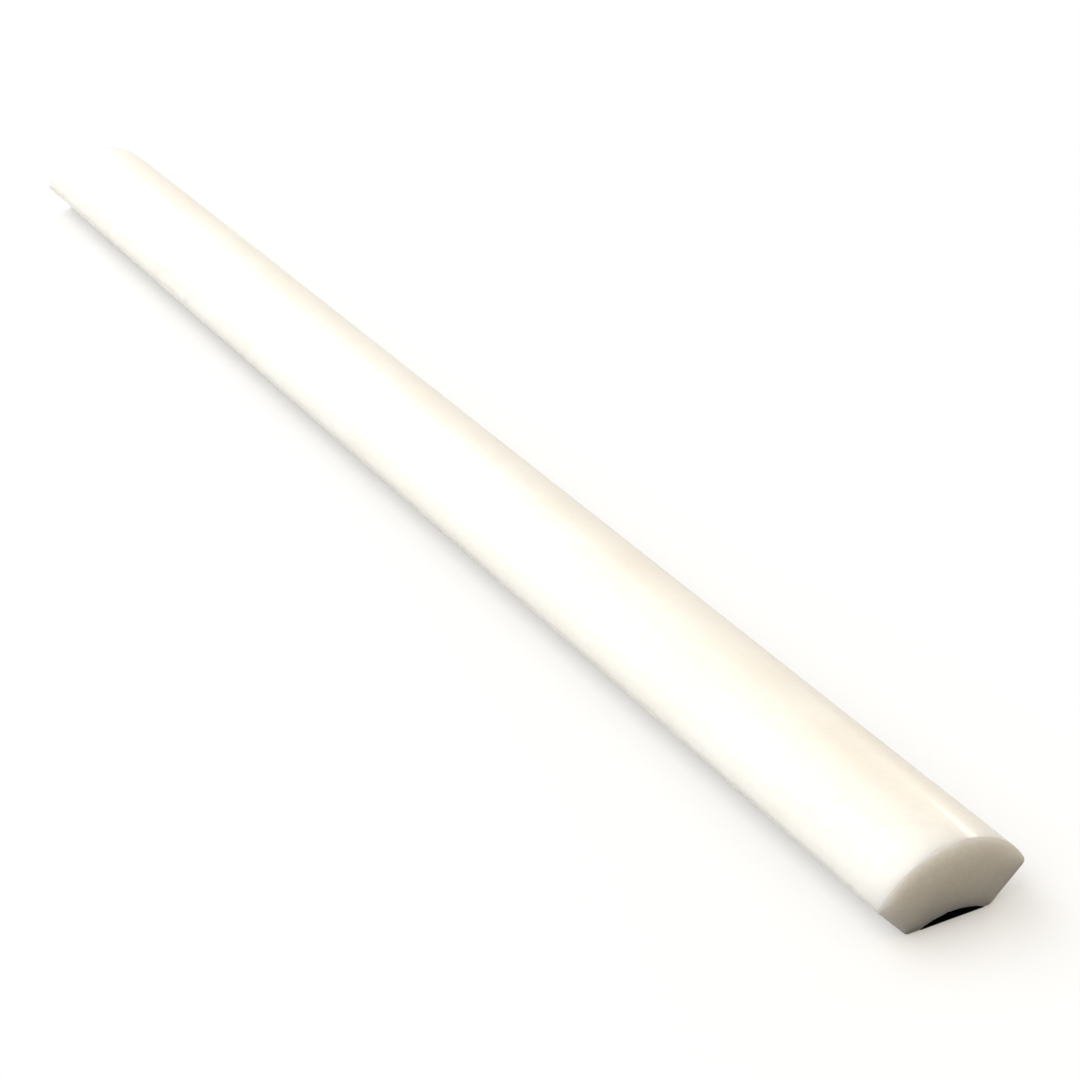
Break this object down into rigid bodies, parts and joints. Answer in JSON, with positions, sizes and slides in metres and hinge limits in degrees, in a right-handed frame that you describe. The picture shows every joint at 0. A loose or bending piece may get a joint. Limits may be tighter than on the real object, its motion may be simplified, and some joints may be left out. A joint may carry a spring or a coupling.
{
  "type": "marble liner tile",
  "caption": "Polished marble liner tile: a straight stone bar with a domed face, rounded shoulders, undercut sides and a shallow hollow along its back.",
  "frame": {"origin": "centre of the bedding plane, which holds the two flat strips of the back", "axes": "+X along the bar towards one sawn end, +Y across it, +Z out of the back towards the crown of the dome"},
  "size_m": [0.305, 0.0248, 0.0127],
  "materials": {
    "marble": "polished on the domed face and shoulders, sawn on the ends, ground on the sides, back and hollow"
  },
  "bodies": {
    "root": {"liner_bar": "marble"}
  },
  "joints": []
}
